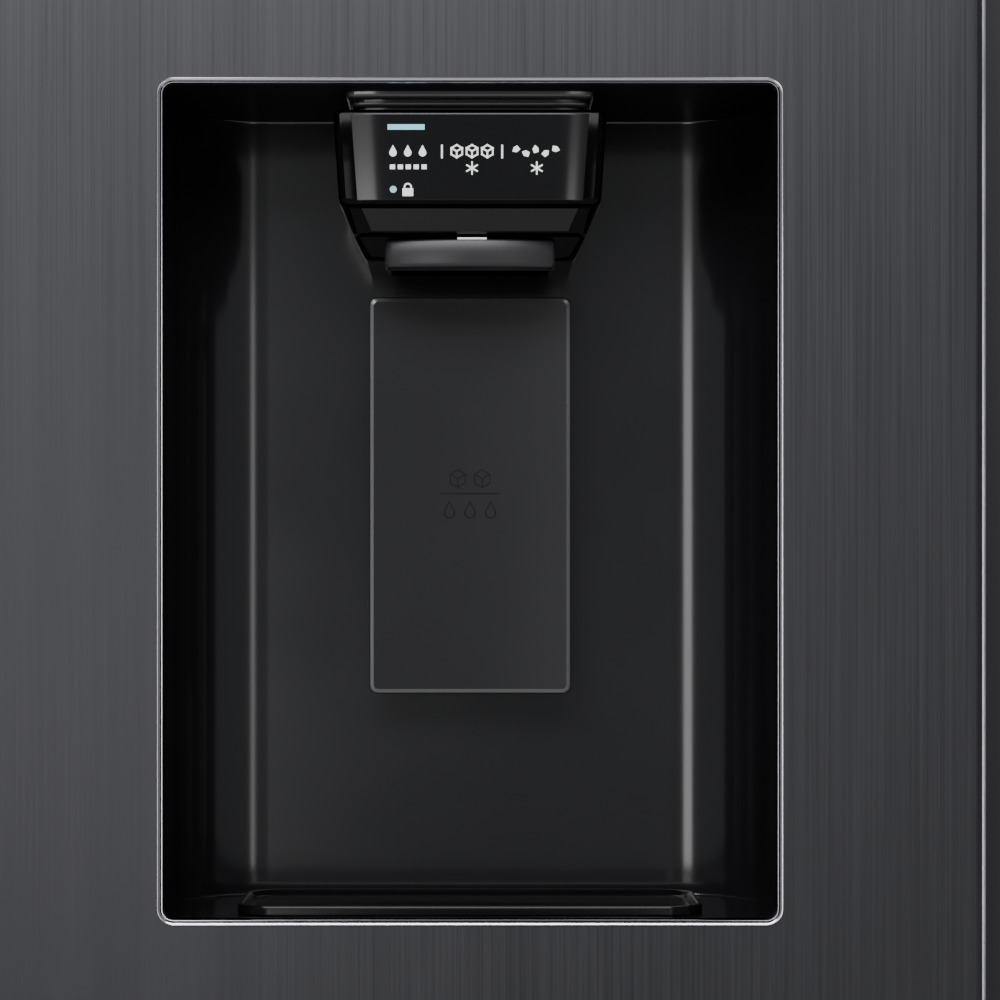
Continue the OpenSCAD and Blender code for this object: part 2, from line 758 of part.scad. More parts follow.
module door_liner(door_w, bulged) {
    color(white) difference() {
        union() {
            slab([0, door_w], [door_back - liner_t, door_back], door_z);
            door_ridges(door_w, 0, bulged);
        }
        door_ridges(door_w, liner_t, bulged);
        liner_seams(door_w, bulged ? bulge_z[0] : ridge_z[1] + seam);
    }
}

module freezer_door_liner() {
    difference() {
        at_freezer_door() door_liner(freezer_door_w, true);
        ice_chute_space(chute_t);
    }
}

module fridge_door_liner() { at_fridge_door() door_liner(fridge_door_w, false); }

module door_foam(skin_w, door_w, bulged) {
    back = door_back - liner_t;
    color("khaki") {
        upright(inside_caps) difference() {
            cap_plan(skin_w, door_w);
            translate([skin_w - undercut - grip_t, skin_y]) square([door_w, pocket_d + grip_t]);
            translate([door_w - grip_t, skin_y]) square([grip_t + cut, door_t]);
        }
        intersection() {
            door_ridges(door_w, liner_t, bulged);
            slab([0, door_w], [back, back + door_t], door_z);
        }
    }
}

module freezer_door_foam() {
    color("khaki") difference() {
        at_freezer_door() door_foam(freezer_skin_w, freezer_door_w, true);
        recess(tub_t, cut);
        plate_xz(at(disp_x, [-disp_w / 2, disp_w / 2]), disp_z, at(skin_y, [0, trim_depth]), 0);
        ice_chute_space(chute_t);
    }
}

module fridge_door_foam() { at_fridge_door() door_foam(fridge_skin_w, fridge_door_w, false); }

module door_gasket(door_w) {
    color("gray")
        ring_xz([22, door_w - 10], [door_z[0] + 14, door_z[1] - 14], 16, [door_back, case_front - 0.1]);
}

module freezer_door_gasket() { at_freezer_door() door_gasket(freezer_door_w); }

module fridge_door_gasket() { at_fridge_door() door_gasket(fridge_door_w); }

// Clear bins that hang between the ridges, as many as the height holds
module door_bins(door_w, top) {
    y = at(door_back, [0, bin_d]);
    color("lightcyan", 0.6) for (z = [ridge_z[0] + 5:bin_pitch:top - bin_h])
        tray(between_ridges(door_w), y, [z, z + bin_h], drawer_t);
}

module freezer_door_bins() { at_freezer_door() door_bins(freezer_door_w, bulge_z[0] - 10); }

dairy_z = at(ridge_z[1], [-220, -105]);
module fridge_door_bins() {
    at_fridge_door() {
        door_bins(fridge_door_w, dairy_z[0] - 60);
        color("lightcyan", 0.6)
            tray(between_ridges(fridge_door_w), at(door_back, [0, bin_d]), dairy_z, drawer_t);
    }
}

// Lid of the dairy box, which turns up about a pin line at the door
dairy_axis = [door_back + 8, dairy_z[1] + 5];
module dairy_lid() {
    u = between_ridges(fridge_door_w) + [1, -1];
    color("lightcyan", 0.6) at_fridge_door() {
        slab(u, [dairy_axis[0], door_back + bin_d + 3], at(dairy_axis[1], [-3.5, -1]));
        slab(u, at(door_back + bin_d, [1, 3]), at(dairy_axis[1], [-30, -1]));
        rod_x([u[0], dairy_axis[0], dairy_axis[1]], 3, u[1] - u[0]);
    }
}

// ---------------------------------------------------------------- ice

chute_t = 2;
chute_w = 62;
chute_d = 38;
chute_top = [door_back + 42, bulge_z[1]];
chute_foot = [skin_y + 46, housing_top];

// The sloping ice passage, grown by a wall, cut off level at both ends
module ice_chute_space(wall) {
    run = chute_top - chute_foot;
    slope = atan2(run[0], run[1]);
    intersection() {
        translate([disp_x, chute_foot[0], chute_foot[1]]) rotate([-slope, 0, 0])
            slab([-chute_w / 2 - wall, chute_w / 2 + wall], [-chute_d / 2 - wall, chute_d / 2 + wall],
                 [-60, norm(run) + 60]);
        slab(at(disp_x, [-chute_w, chute_w]), [skin_y, door_back + ridge_d + 60],
             [housing_top + (wall > 0 ? 0 : -cut), chute_top[1] + (wall > 0 ? 0 : cut)]);
    }
}

bucket_gap = 8; // clear of the hinge side's ridge
bucket_half = freezer_skin_w / 2 - between_ridges(freezer_door_w)[0] - bucket_gap;
ice_x = at(disp_x, [-bucket_half, bucket_half]);
bucket_y = at(door_back, [4, 122]);
bucket_z = at(bulge_z[1], [2, 160]);
auger_axis = [disp_x, bucket_y[0], bucket_z[0] + 58];

// Bucket with a drop hole over the chute and a bearing hole for the auger in its rear wall
module ice_bucket() {
    hole_y = [bucket_y[0] + 8, chute_top[0] + chute_d / 2 + 4];
    color("lightcyan", 0.6) difference() {
        tray(ice_x, bucket_y, bucket_z, 3);
        slab(at(disp_x, [-chute_w / 2, chute_w / 2]), hole_y, at(bucket_z[0], [-cut, 3 + cut]));
        rod_y([auger_axis[0], bucket_y[1] - 3 - cut, auger_axis[2]], 5 + run_fit, 3 + 2 * cut);
        rod_y([auger_axis[0], bucket_y[0] - cut, auger_axis[2]], 5 + run_fit, 3 + 2 * cut);
    }
}

// Shaft with angled paddles that push the ice towards the drop hole
module ice_auger() {
    paddles = 6;
    color(steel) {
        rod_y([auger_axis[0], bucket_y[0] - 3, auger_axis[2]], 5, bucket_y[1] - bucket_y[0] + 7);
        for (i = [0:paddles - 1])
            translate([auger_axis[0], bucket_y[0] + 22 + 14.5 * i, auger_axis[2]]) rotate([0, 60 * i, 0])
                rotate([0, 0, 20]) slab([-42, 42], [-2, 2], [-8, 8]);
    }
}

// Ice mould with seven cups, its side gearbox and the frame that hangs it on the liner
module ice_maker() {
    mould_z = [bucket_z[1] + 24, bucket_z[1] + 76];
    mould_y = at(door_back, [16, 96]);
    cups = 7;
    pitch = 24;
    color(white) {
        difference() {
            slab(at(ice_x[0], [4, 190]), mould_y, mould_z);
            for (i = [0:cups - 1])
                rod_x([ice_x[0] + 12 + pitch * i, (mould_y[0] + mould_y[1]) / 2, mould_z[1] + 6],
                      36, pitch - 3);
        }
        slab(at(ice_x[0], [189, 226]), mould_y + [-2, 4], mould_z + [-8, 14]);
        slab([ice_x[0] + 4, ice_x[1] - 6], [door_back, mould_y[0] + 1], mould_z + [-4, 10]);
    }
}

// ---------------------------------------------------------------- dispenser

// Plan of the recess, grown by a wall, with round rear corners
function recess_plan(wall) = concat(
    [[recess_half + wall, trim_depth]],
    arc([recess_half - recess_r, recess_d - recess_r], recess_r + wall, 0, 90),
    arc([-recess_half + recess_r, recess_d - recess_r], recess_r + wall, 90, 180),
    [[-recess_half - wall, trim_depth]]
);

module recess(wall, front) {
    points = recess_plan(wall);
    last = len(points) - 1;
    ends = [points[last] - [0, front], points[0] - [0, front]];
    translate([disp_x, skin_y, recess_z[0] - wall])
        linear_extrude(recess_z[1] - recess_z[0] + 2 * wall) polygon(concat(points, ends));
}

ear_w = 5;
ear_x = paddle_w / 2 - 14;
paddle_pin_r = 2.5;

// Recess moulding with the ice passage on top and two ears for the paddle
module dispenser_tub() {
    back = skin_y + recess_d;
    color(black) difference() {
        union() {
            difference() {
                recess(tub_t, 0);
                recess(0, cut);
            }
            difference() {
                ice_chute_space(chute_t);
                recess(0, 0);
            }
            for (side = [-1, 1])
                slab(at(disp_x + side * ear_x, [-ear_w / 2, ear_w / 2]), [paddle_axis[0] - 4.5, back + 1],
                     at(paddle_axis[1], [-5, 5]));
        }
        ice_chute_space(0);
        rod_x([disp_x - ear_x - ear_w, paddle_axis[0], paddle_axis[1]],
            paddle_pin_r + run_fit, 2 * (ear_x + ear_w));
    }
}

module dispenser_trim() {
    color("silver")
        ring_xz(at(disp_x, [-disp_w / 2, disp_w / 2]), disp_z, trim_w,
            at(skin_y, [-trim_proud, trim_depth]), trim_r);
}

// Front outline and side outline of the control housing: half width or depth against drop
housing_front = [[53.9, 0], [51.3, 44.6], [49, 50], [41.5, 64.6]];
housing_side = [[15, 0], [15, 44.6], [20, 50], [26, 55], [28, 64.6], [66, 64.6],
                [recess_d, 48], [recess_d, 0]];
housing_t = 2;

module housing_solid(wall) {
    top = housing_top - wall;
    intersection() {
        translate([disp_x, skin_y + recess_d, top]) rotate([90, 0, 0]) linear_extrude(recess_d)
            polygon(concat(
                [for (p = housing_front) [p[0] - wall, -p[1] + 2 * wall * p[1] / 64.6]],
                [for (i = [len(housing_front) - 1:-1:0])
                    [-housing_front[i][0] + wall, -housing_front[i][1] + 2 * wall * housing_front[i][1] / 64.6]]
            ));
        translate([disp_x - 60, skin_y, top]) rotate([90, 0, 90]) linear_extrude(120)
            polygon([for (p = housing_side) [
                p[0] + (p[0] < 40 ? wall : -wall), -p[1] + 2 * wall * p[1] / 64.6
            ]]);
    }
}

nozzle_w = 68;
nozzle_y = at(skin_y, [24, 62]);
nozzle_h = 11;
module nozzle_plan(wall) {
    r = 7;
    rounded(at(disp_x, [-nozzle_w / 2 + wall, nozzle_w / 2 - wall]), nozzle_y + [wall, -wall], r);
}

// Hollow head that carries the display and guides the ice to the nozzle
module control_housing() {
    color(black) difference() {
        housing_solid(0);
        housing_solid(housing_t);
        upright([nozzle_z, nozzle_z + nozzle_h]) nozzle_plan(0);
        upright([nozzle_z, nozzle_z + 30]) nozzle_plan(3);
        slab(at(disp_x, [-chute_w / 2, chute_w / 2]), at(skin_y, [20, 80]),
            at(housing_top, [-housing_t - cut, cut]));
    }
}

display_t = 1.6;
module display_panel() {
    color([0.02, 0.02, 0.02]) translate([disp_x, skin_y + housing_side[0][0], housing_top])
        rotate([90, 0, 0]) linear_extrude(display_t)
            polygon([[-47.2, -7], [47.2, -7], [44.6, -44], [-44.6, -44]]);
}

// Ice and water spout
module chute_nozzle() {
    color("dimgray") upright([nozzle_z, nozzle_z + nozzle_h]) difference() {
        nozzle_plan(0);
        nozzle_plan(3);
    }
}

flap_l = 50;
module chute_flap() {
    color(black) {
        slab(at(disp_x, [-chute_w / 2 + 1, chute_w / 2 - 1]), [flap_axis[0] - flap_l, flap_axis[0]],
             at(flap_axis[1], [-1, 1]));
        rod_x([disp_x - chute_w / 2 + 1, flap_axis[0], flap_axis[1]], 2, chute_w - 2);
    }
}

// Push plate with two lugs and the pin that turns in the recess's ears
module dispenser_paddle() {
    front = skin_y + paddle_depth;
    lug_x = ear_x - ear_w / 2 - 0.5;
    color(graphite) {
        plate_xz(at(disp_x, [-paddle_w / 2, paddle_w / 2]), [paddle_top - paddle_h, paddle_top],
                 [front, front + paddle_t], 3);
        rod_x([disp_x - ear_x - ear_w / 2, paddle_axis[0], paddle_axis[1]], paddle_pin_r, 2 * ear_x + ear_w);
        for (side = [-1, 1])
            slab(at(disp_x + side * (lug_x - 3), [-3, 3]), [front + paddle_t - 1, paddle_axis[0] + 3],
                 at(paddle_axis[1], [-4, 4]));
    }
}

tray_half = 92;
tray_y = at(skin_y, [10, 74]);
tray_h = 4;
module drip_tray() {
    corner = 14;
    color(black) difference() {
        upright(at(recess_z[0], [0, tray_h])) rounded(at(disp_x, [-tray_half, tray_half]), tray_y, corner);
        upright(at(recess_z[0], [tray_h - 2.4, tray_h + cut]))
            rounded(at(disp_x, [-tray_half + 3, tray_half - 3]), tray_y + [3, -3], corner - 3);
    }
}

// ---------------------------------------------------------------- assembly

cabinet_shell();
cabinet_foam();
freezer_liner();
fridge_liner();
front_frame();
back_panel();
base_frame();
machine_cover();
toe_grille();
compressor();
condenser_coil();
condenser_fan_motor();
condenser_fan_blade();
evaporator();
air_duct();
evaporator_fan_blade();
top_hinges();
bottom_hinges();
hinge_covers();
rear_fittings();
freezer_shelves();
shelf_glass();
shelf_frames();
lamp_panels();
filter_head();
water_filter();
left_foot();
right_foot();
left_roller();
right_roller();
upper_crisper();
lower_crisper();
upper_freezer_drawer();
lower_freezer_drawer();
freezer_door_skin();
freezer_door_caps();
freezer_door_grip();
freezer_door_foam();
freezer_door_liner();
freezer_door_gasket();
freezer_door_bins();
ice_maker();
ice_bucket();
ice_auger();
chute_flap();
dispenser_tub();
dispenser_trim();
control_housing();
display_panel();
chute_nozzle();
dispenser_paddle();
drip_tray();
fridge_door_skin();
fridge_door_caps();
fridge_door_grip();
fridge_door_foam();
fridge_door_liner();
fridge_door_gasket();
fridge_door_bins();
dairy_lid();
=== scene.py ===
"""Looks of the side by side refrigerator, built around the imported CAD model. Lengths are in metres."""
import json
import math

import bmesh
import bpy
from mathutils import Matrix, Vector


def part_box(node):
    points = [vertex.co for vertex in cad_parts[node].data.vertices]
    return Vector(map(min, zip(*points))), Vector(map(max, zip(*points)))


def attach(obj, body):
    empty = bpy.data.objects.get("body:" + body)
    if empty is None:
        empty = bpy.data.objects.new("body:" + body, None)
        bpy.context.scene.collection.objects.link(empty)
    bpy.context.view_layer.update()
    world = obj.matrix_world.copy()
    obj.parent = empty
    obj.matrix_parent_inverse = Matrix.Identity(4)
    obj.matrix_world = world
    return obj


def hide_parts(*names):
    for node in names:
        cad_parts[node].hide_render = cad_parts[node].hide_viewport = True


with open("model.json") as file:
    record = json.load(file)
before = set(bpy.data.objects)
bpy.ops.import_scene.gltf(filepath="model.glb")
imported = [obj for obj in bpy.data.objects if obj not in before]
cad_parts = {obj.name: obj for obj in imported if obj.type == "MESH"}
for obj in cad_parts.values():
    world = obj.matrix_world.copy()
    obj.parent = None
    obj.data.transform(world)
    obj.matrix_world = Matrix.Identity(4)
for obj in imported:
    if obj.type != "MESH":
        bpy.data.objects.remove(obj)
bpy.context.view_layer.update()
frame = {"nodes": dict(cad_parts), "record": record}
NODES = frame["nodes"]
MM = 0.001

# ------------------------------------------------------------------ places, all from the frame

trim_low, trim_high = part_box("dispenser_trim")
skin_low, skin_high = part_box("freezer_door_skin")
fridge_skin_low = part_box("fridge_door_skin")[0]
paddle_low, paddle_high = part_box("dispenser_paddle")
nozzle_low, nozzle_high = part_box("chute_nozzle")
tray_low, tray_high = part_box("drip_tray")

DISP_X = (trim_low.x + trim_high.x) / 2
DISP_Z = (trim_low.z + trim_high.z) / 2
SKIN_Y = skin_low.y
TRIM_W = 2.4 * MM
RECESS_HALF = (trim_high.x - trim_low.x) / 2 - TRIM_W
RECESS_Z = (trim_low.z + TRIM_W, trim_high.z - TRIM_W)
RECESS_D = 84 * MM
RECESS_R = 35 * MM
CEILING = RECESS_Z[1]


# ------------------------------------------------------------------ materials

def new_material(name):
    mat = bpy.data.materials.new(name)
    mat.use_nodes = True
    return mat, mat.node_tree.nodes, mat.node_tree.links, mat.node_tree.nodes["Principled BSDF"]


def noise(nodes, links, scale, stretch=(1, 1, 1), detail=4):
    """A noise texture in the object's own metres."""
    coord = nodes.new("ShaderNodeTexCoord")
    mapping = nodes.new("ShaderNodeMapping")
    mapping.inputs["Scale"].default_value = stretch
    tex = nodes.new("ShaderNodeTexNoise")
    tex.inputs["Scale"].default_value = scale
    tex.inputs["Detail"].default_value = detail
    links.new(coord.outputs["Object"], mapping.inputs["Vector"])
    links.new(mapping.outputs["Vector"], tex.inputs["Vector"])
    return tex.outputs["Fac"]


def ramp(nodes, links, fac, low, high, start=0.3, end=0.7):
    """A colour between two shades that follows a texture."""
    node = nodes.new("ShaderNodeValToRGB")
    node.color_ramp.elements[0].position = start
    node.color_ramp.elements[1].position = end
    node.color_ramp.elements[0].color = (*low, 1)
    node.color_ramp.elements[1].color = (*high, 1)
    links.new(fac, node.inputs["Fac"])
    return node.outputs["Color"]


def spread(nodes, links, fac, low, high):
    """A number between two limits that follows a texture."""
    node = nodes.new("ShaderNodeMapRange")
    node.inputs["From Min"].default_value = 0.3
    node.inputs["From Max"].default_value = 0.7
    node.inputs["To Min"].default_value = low
    node.inputs["To Max"].default_value = high
    links.new(fac, node.inputs["Value"])
    return node.outputs["Result"]


def bump(nodes, links, bsdf, fac, strength, distance):
    node = nodes.new("ShaderNodeBump")
    node.inputs["Strength"].default_value = strength
    node.inputs["Distance"].default_value = distance
    links.new(fac, node.inputs["Height"])
    links.new(node.outputs["Normal"], bsdf.inputs["Normal"])


def shade(colour, share):
    return tuple(c * share for c in colour)


def brushed(name, colour, grain=(1400, 300, 7), rough=(0.34, 0.5), contrast=0.13, metallic=0.9):
    """Metal with long fine strokes along Z and slow drifts of tone."""
    mat, nodes, links, bsdf = new_material(name)
    strokes = noise(nodes, links, 1, grain, 3)
    drift = noise(nodes, links, 1, (40, 40, 1.4), 2)
    tone = ramp(nodes, links, strokes, shade(colour, 1 - contrast), shade(colour, 1 + contrast))
    slow = ramp(nodes, links, drift, (0.93, 0.93, 0.93), (1.07, 1.07, 1.07))
    mix = nodes.new("ShaderNodeMix")
    mix.data_type = "RGBA"
    mix.blend_type = "MULTIPLY"
    mix.inputs["Factor"].default_value = 1
    links.new(tone, mix.inputs["A"])
    links.new(slow, mix.inputs["B"])
    links.new(mix.outputs["Result"], bsdf.inputs["Base Color"])
    links.new(spread(nodes, links, strokes, *rough), bsdf.inputs["Roughness"])
    bump(nodes, links, bsdf, strokes, 0.12, 0.00004)
    bsdf.inputs["Metallic"].default_value = metallic
    return mat


def moulded(name, colour, rough=(0.3, 0.42), grain=900, depth=0.00002, metallic=0.0, coat=0.0,
            variation=0.06, strength=0.15, specular=0.5):
    """Moulded plastic, paint or rubber: a fine grain, a slow drift of tone and uneven gloss."""
    mat, nodes, links, bsdf = new_material(name)
    fine = noise(nodes, links, grain, detail=3)
    drift = noise(nodes, links, 9, detail=4)
    links.new(ramp(nodes, links, drift, shade(colour, 1 - variation), shade(colour, 1 + variation)),
              bsdf.inputs["Base Color"])
    links.new(spread(nodes, links, drift, *rough), bsdf.inputs["Roughness"])
    bump(nodes, links, bsdf, fine, strength, depth)
    bsdf.inputs["Metallic"].default_value = metallic
    bsdf.inputs["Coat Weight"].default_value = coat
    bsdf.inputs["Specular IOR Level"].default_value = specular
    return mat


def clear(name, colour, rough, weight, ior=1.49):
    """Clear moulded plastic or glass, with faint flow marks."""
    mat = moulded(name, colour, rough, grain=60, depth=0.00003, variation=0.02, strength=0.08)
    bsdf = mat.node_tree.nodes["Principled BSDF"]
    bsdf.inputs["Transmission Weight"].default_value = weight
    bsdf.inputs["IOR"].default_value = ior
    return mat


def glowing(name, colour, strength):
    """A lit mark, a little uneven as a light guide is."""
    mat, nodes, links, bsdf = new_material(name)
    glow = noise(nodes, links, 260, detail=2)
    links.new(ramp(nodes, links, glow, shade(colour, 0.9), colour), bsdf.inputs["Emission Color"])
    links.new(ramp(nodes, links, glow, shade(colour, 0.75), shade(colour, 0.85)), bsdf.inputs["Base Color"])
    bsdf.inputs["Emission Strength"].default_value = strength
    bsdf.inputs["Roughness"].default_value = 0.5
    return mat


STEEL = brushed("dark_brushed_steel", (0.066, 0.066, 0.0712))
POLISHED = moulded("polished_trim", (0.72, 0.70, 0.76), (0.14, 0.17), 500, 0.000001, 1.0,
                   variation=0.02, strength=0.01)
# bright metal for the trim slot and for the door skins' edge strips, where it is a painted highlight of the
# rounded edges
TRIM_AND_EDGE_HIGHLIGHT = brushed("trim_metal_and_edge_highlight", (0.72, 0.70, 0.78), (300, 300, 40), (0.16, 0.26), 0.05, 1.0)
PAINT = moulded("cabinet_paint", (0.035, 0.035, 0.038), (0.42, 0.52), 1500, 0.00006, strength=0.5)
ZINC = brushed("galvanised_sheet", (0.50, 0.51, 0.52), (60, 60, 60), (0.35, 0.55), 0.12, 0.85)
HINGE = moulded("hinge_steel", (0.09, 0.09, 0.095), (0.35, 0.45), 1200, metallic=0.7)
FOAM = moulded("rigid_foam", (0.72, 0.62, 0.38), (0.8, 0.9), 500, 0.0004, strength=0.6)
LINER = moulded("liner_white", (0.80, 0.81, 0.82), (0.28, 0.36), 700, variation=0.015)
WHITE = moulded("satin_white", (0.76, 0.77, 0.77), (0.4, 0.5), 900, variation=0.02)
CLEAR = clear("clear_moulding", (0.90, 0.95, 0.97), (0.06, 0.12), 0.85)
GLASS = clear("shelf_glass", (0.80, 0.93, 0.90), (0.02, 0.05), 0.95, 1.52)
SEAL = moulded("door_seal", (0.16, 0.16, 0.165), (0.6, 0.7), 500, 0.00005)
BLACK = moulded("satin_black", (0.018, 0.018, 0.020), (0.42, 0.52), 1200, 0.00003, strength=0.3)
RECESS = moulded("recess_black", (0.0105, 0.0105, 0.0118), (0.13, 0.165), 2400, 0.000004,
                 strength=0.03, specular=0.9)
# matte sheet for the recess's ceiling: its finish is rough, and its colour, darker than the lining, is
# painted shade
CEILING_SHADE = moulded("ceiling_painted_shade", (0.004, 0.004, 0.005), (0.55, 0.65), 1500, 0.00001,
                        strength=0.1, specular=0.15)
TRAY = moulded("tray_black", (0.0045, 0.0045, 0.0052), (0.14, 0.20), 1800, 0.000004,
               strength=0.04, specular=0.2)
HEAD = moulded("head_black", (0.0012, 0.0012, 0.0014), (0.09, 0.12), 2400, 0.000002,
               strength=0.02, specular=0.12)
# the rims get a lighter black than the head's body: a painted sheen for the light they reflect
RIM_SHEEN = moulded("rim_painted_sheen", (0.045, 0.045, 0.049), (0.12, 0.16), 2400, 0.000003, strength=0.02, specular=1.0)
LIP = moulded("lip_satin", (0.009, 0.009, 0.0102), (0.24, 0.30), 2400, 0.000006, strength=0.08, specular=0.4)
WINDOW = moulded("window_black", (0.0015, 0.0015, 0.0024), (0.11, 0.14), 3000, 0.000002,
                 strength=0.02, specular=0.8)
PADDLE = moulded("paddle_satin", (0.0175, 0.0175, 0.0192), (0.26, 0.31), 2600, 0.000006,
                 strength=0.08, specular=0.35)
# lighter metallic grey for the paddle's bevel: a painted highlight on what is the plate's own dark plastic
BEVEL = moulded("bevel_painted_highlight", (0.15, 0.15, 0.16), (0.24, 0.30), 2600, 0.000003, 0.6, strength=0.04)
# darker than the paddle: painted shade along the raised marks, which are the paddle's own plastic
MARK_SHADE = moulded("mark_painted_shade", (0.006, 0.006, 0.0065), (0.30, 0.36), 2600, 0.000004,
               strength=0.05, specular=0.25)
SPOUT = moulded("spout_grey", (0.030, 0.029, 0.033), (0.28, 0.34), 2000, 0.000006)
GRIP = moulded("grip_grey", (0.030, 0.030, 0.034), (0.40, 0.5), 1800, 0.00002)
ENAMEL = moulded("black_enamel", (0.012, 0.012, 0.013), (0.2, 0.3), 300, 0.00008, coat=0.3)
TUBE = moulded("enamelled_tube", (0.03, 0.03, 0.032), (0.3, 0.4), 700)
FIN = brushed("aluminium_fin", (0.70, 0.71, 0.72), (500, 60, 60), (0.3, 0.45), 0.06, 1.0)
BRIGHT = brushed("polished_steel", (0.62, 0.62, 0.63), (60, 500, 60), (0.15, 0.25), 0.05, 1.0)
LAMP = glowing("lamp_panel", (0.96, 0.98, 1.0), 0.8)
TYRE = moulded("roller_rubber", (0.05, 0.05, 0.05), (0.6, 0.75), 600, 0.0001)
LIT_WHITE = glowing("lit_white", (0.95, 0.97, 0.95), 0.9)
LIT_CYAN = glowing("lit_cyan", (0.25, 0.72, 0.86), 0.9)
LIT_BLUE = glowing("lit_blue", (0.35, 0.62, 0.85), 0.8)


# ------------------------------------------------------------------ shapes

def finish_piece(bm, name, material, body, smooth_angle=40):
    """Turns a bmesh into a piece that rides on a body and takes the finish it is given."""
    bmesh.ops.remove_doubles(bm, verts=bm.verts, dist=1e-6)
    bmesh.ops.recalc_face_normals(bm, faces=bm.faces)
    mesh = bpy.data.meshes.new(name)
    bm.to_mesh(mesh)
    bm.free()
    piece = bpy.data.objects.new(name, mesh)
    bpy.context.scene.collection.objects.link(piece)
    mesh.materials.append(material)
    mesh.shade_smooth()
    if smooth_angle:
        mesh.set_sharp_from_angle(angle=math.radians(smooth_angle))
    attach(piece, body)
    return piece


def bevelled(piece, width, segments):
    """Rounds a piece's sharp edges."""
    mod = piece.modifiers.new("rounded_edges", "BEVEL")
    mod.width = width
    mod.segments = segments
    mod.limit_method = "ANGLE"
    mod.angle_limit = math.radians(30)
    mod.harden_normals = True


def rounded_outline(half_w, half_h, r, steps=8):
    """Points round a rectangle with round corners, about its middle."""
    points = []
    for cx, cz, start in ((1, 1, 0), (-1, 1, 90), (-1, -1, 180), (1, -1, 270)):
        for i in range(steps + 1):
            a = math.radians(start + 90 * i / steps)
            points.append((cx * (half_w - r) + r * math.cos(a), cz * (half_h - r) + r * math.sin(a)))
    return points


def loft(rings, caps=(True, True)):
    """A skin over rings of points that all have the same count."""
    bm = bmesh.new()
    rows = [[bm.verts.new(p) for p in ring] for ring in rings]
    for low, high in zip(rows, rows[1:]):
        for i in range(len(low)):
            j = (i + 1) % len(low)
            bm.faces.new((low[i], low[j], high[j], high[i]))
    if caps[0]:
        bm.faces.new(rows[0][::-1])
    if caps[1]:
        bm.faces.new(rows[-1])
    return bm


def refine(node, body, material, width):
    """A rounded copy of a CAD node that stands for it."""
    bm = bmesh.new()
    bm.from_mesh(NODES[node].data)
    bmesh.ops.remove_doubles(bm, verts=bm.verts, dist=1e-6)
    bmesh.ops.dissolve_limit(bm, angle_limit=math.radians(1), verts=bm.verts, edges=bm.edges)
    piece = finish_piece(bm, node + "_finished", material, body, 30)
    bevelled(piece, width, 2)
    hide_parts(node)


def strip(name, x, y, z, material, body, edge=0.3 * MM):
    """A thin bar between limits, with its long edges rounded."""
    outline = rounded_outline((x[1] - x[0]) / 2, (y[1] - y[0]) / 2, edge, 4)
    mid = ((x[0] + x[1]) / 2, (y[0] + y[1]) / 2)
    rings = [[(mid[0] + px, mid[1] + py, level) for px, py in outline] for level in z]
    finish_piece(loft(rings), name, material, body)


# ------------------------------------------------------------------ dispenser

def make_recess():
    """Smooth lining of the recess, with a small fillet along its floor and its ceiling."""
    fillet = 1.2 * MM
    fillet_steps = 6
    steps = 16

    def path(inset):
        half = RECESS_HALF - inset
        depth = RECESS_D - inset
        r = RECESS_R - inset
        points = [(half, 1 * MM), (half, 6 * MM), (half, 25 * MM)]
        for i in range(steps + 1):
            a = math.radians(90 * i / steps)
            points.append((half - r + r * math.cos(a), depth - r + r * math.sin(a)))
        return points + [(-x, y) for x, y in reversed(points)]

    levels = []
    for i in range(fillet_steps + 1):
        a = math.radians(90 * i / fillet_steps)
        levels.append((fillet * (1 - math.sin(a)), RECESS_Z[0] + fillet * (1 - math.cos(a))))
    levels += [(0, RECESS_Z[0] + fillet + step * MM) for step in (0.5, 2)]
    levels += [(inset, RECESS_Z[0] + RECESS_Z[1] - z) for inset, z in reversed(levels)]
    bm = bmesh.new()
    rows = []
    for inset, z in levels:
        rows.append([bm.verts.new((DISP_X + x, SKIN_Y + y, z)) for x, y in path(inset)])
    for low, high in zip(rows, rows[1:]):
        for i in range(len(low) - 1):
            bm.faces.new((low[i], low[i + 1], high[i + 1], high[i]))
    bm.faces.new(rows[0])
    bm.faces.new(rows[-1][::-1])
    piece = finish_piece(bm, "recess_lining", RECESS, "freezer_door", 50)
    thick = piece.modifiers.new("wall", "SOLIDIFY")
    thick.thickness = 2 * MM
    thick.offset = 1 if piece.data.polygons[0].normal.z < 0 else -1
    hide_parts("dispenser_tub")

    # a matte sheet under the ceiling, darker than the lining: painted shade
    edge = path(0.3 * MM)
    ceiling = [[(DISP_X + x, SKIN_Y + y, CEILING - drop * MM) for x, y in edge] for drop in (0.5, 0.05)]
    finish_piece(loft(ceiling), "recess_ceiling", CEILING_SHADE, "freezer_door")


TRIM_R = 6.5

# Inset from the outer edge and depth behind the skin, in millimetres: outer rib, groove, inner rib
TRIM_PROFILE = [
    (0.0, 5.5), (0.0, -0.4), (0.1, -0.72), (0.28, -0.86), (0.5, -0.82), (1.25, -0.55), (1.38, -0.4),
    (1.45, 1.0), (1.75, 1.0),
    (1.8, -0.15), (1.9, -0.32), (2.15, -0.32), (2.3, -0.1), (2.4, 0.4), (2.4, 5.5),
]


def make_trim():
    """Polished ring: an outer rib that slopes inwards, a dark groove and a small inner rib."""
    half_w = (trim_high.x - trim_low.x) / 2
    half_h = (trim_high.z - trim_low.z) / 2
    rings = []
    for inset, depth in TRIM_PROFILE:
        outline = rounded_outline(half_w - inset * MM, half_h - inset * MM, (TRIM_R - inset) * MM, 12)
        rings.append([(DISP_X + x, SKIN_Y + depth * MM, DISP_Z + z) for x, z in outline])
    rings.append(rings[0])
    piece = finish_piece(loft(rings, (False, False)), "trim_ring", POLISHED, "freezer_door", 35)
    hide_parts("dispenser_trim")


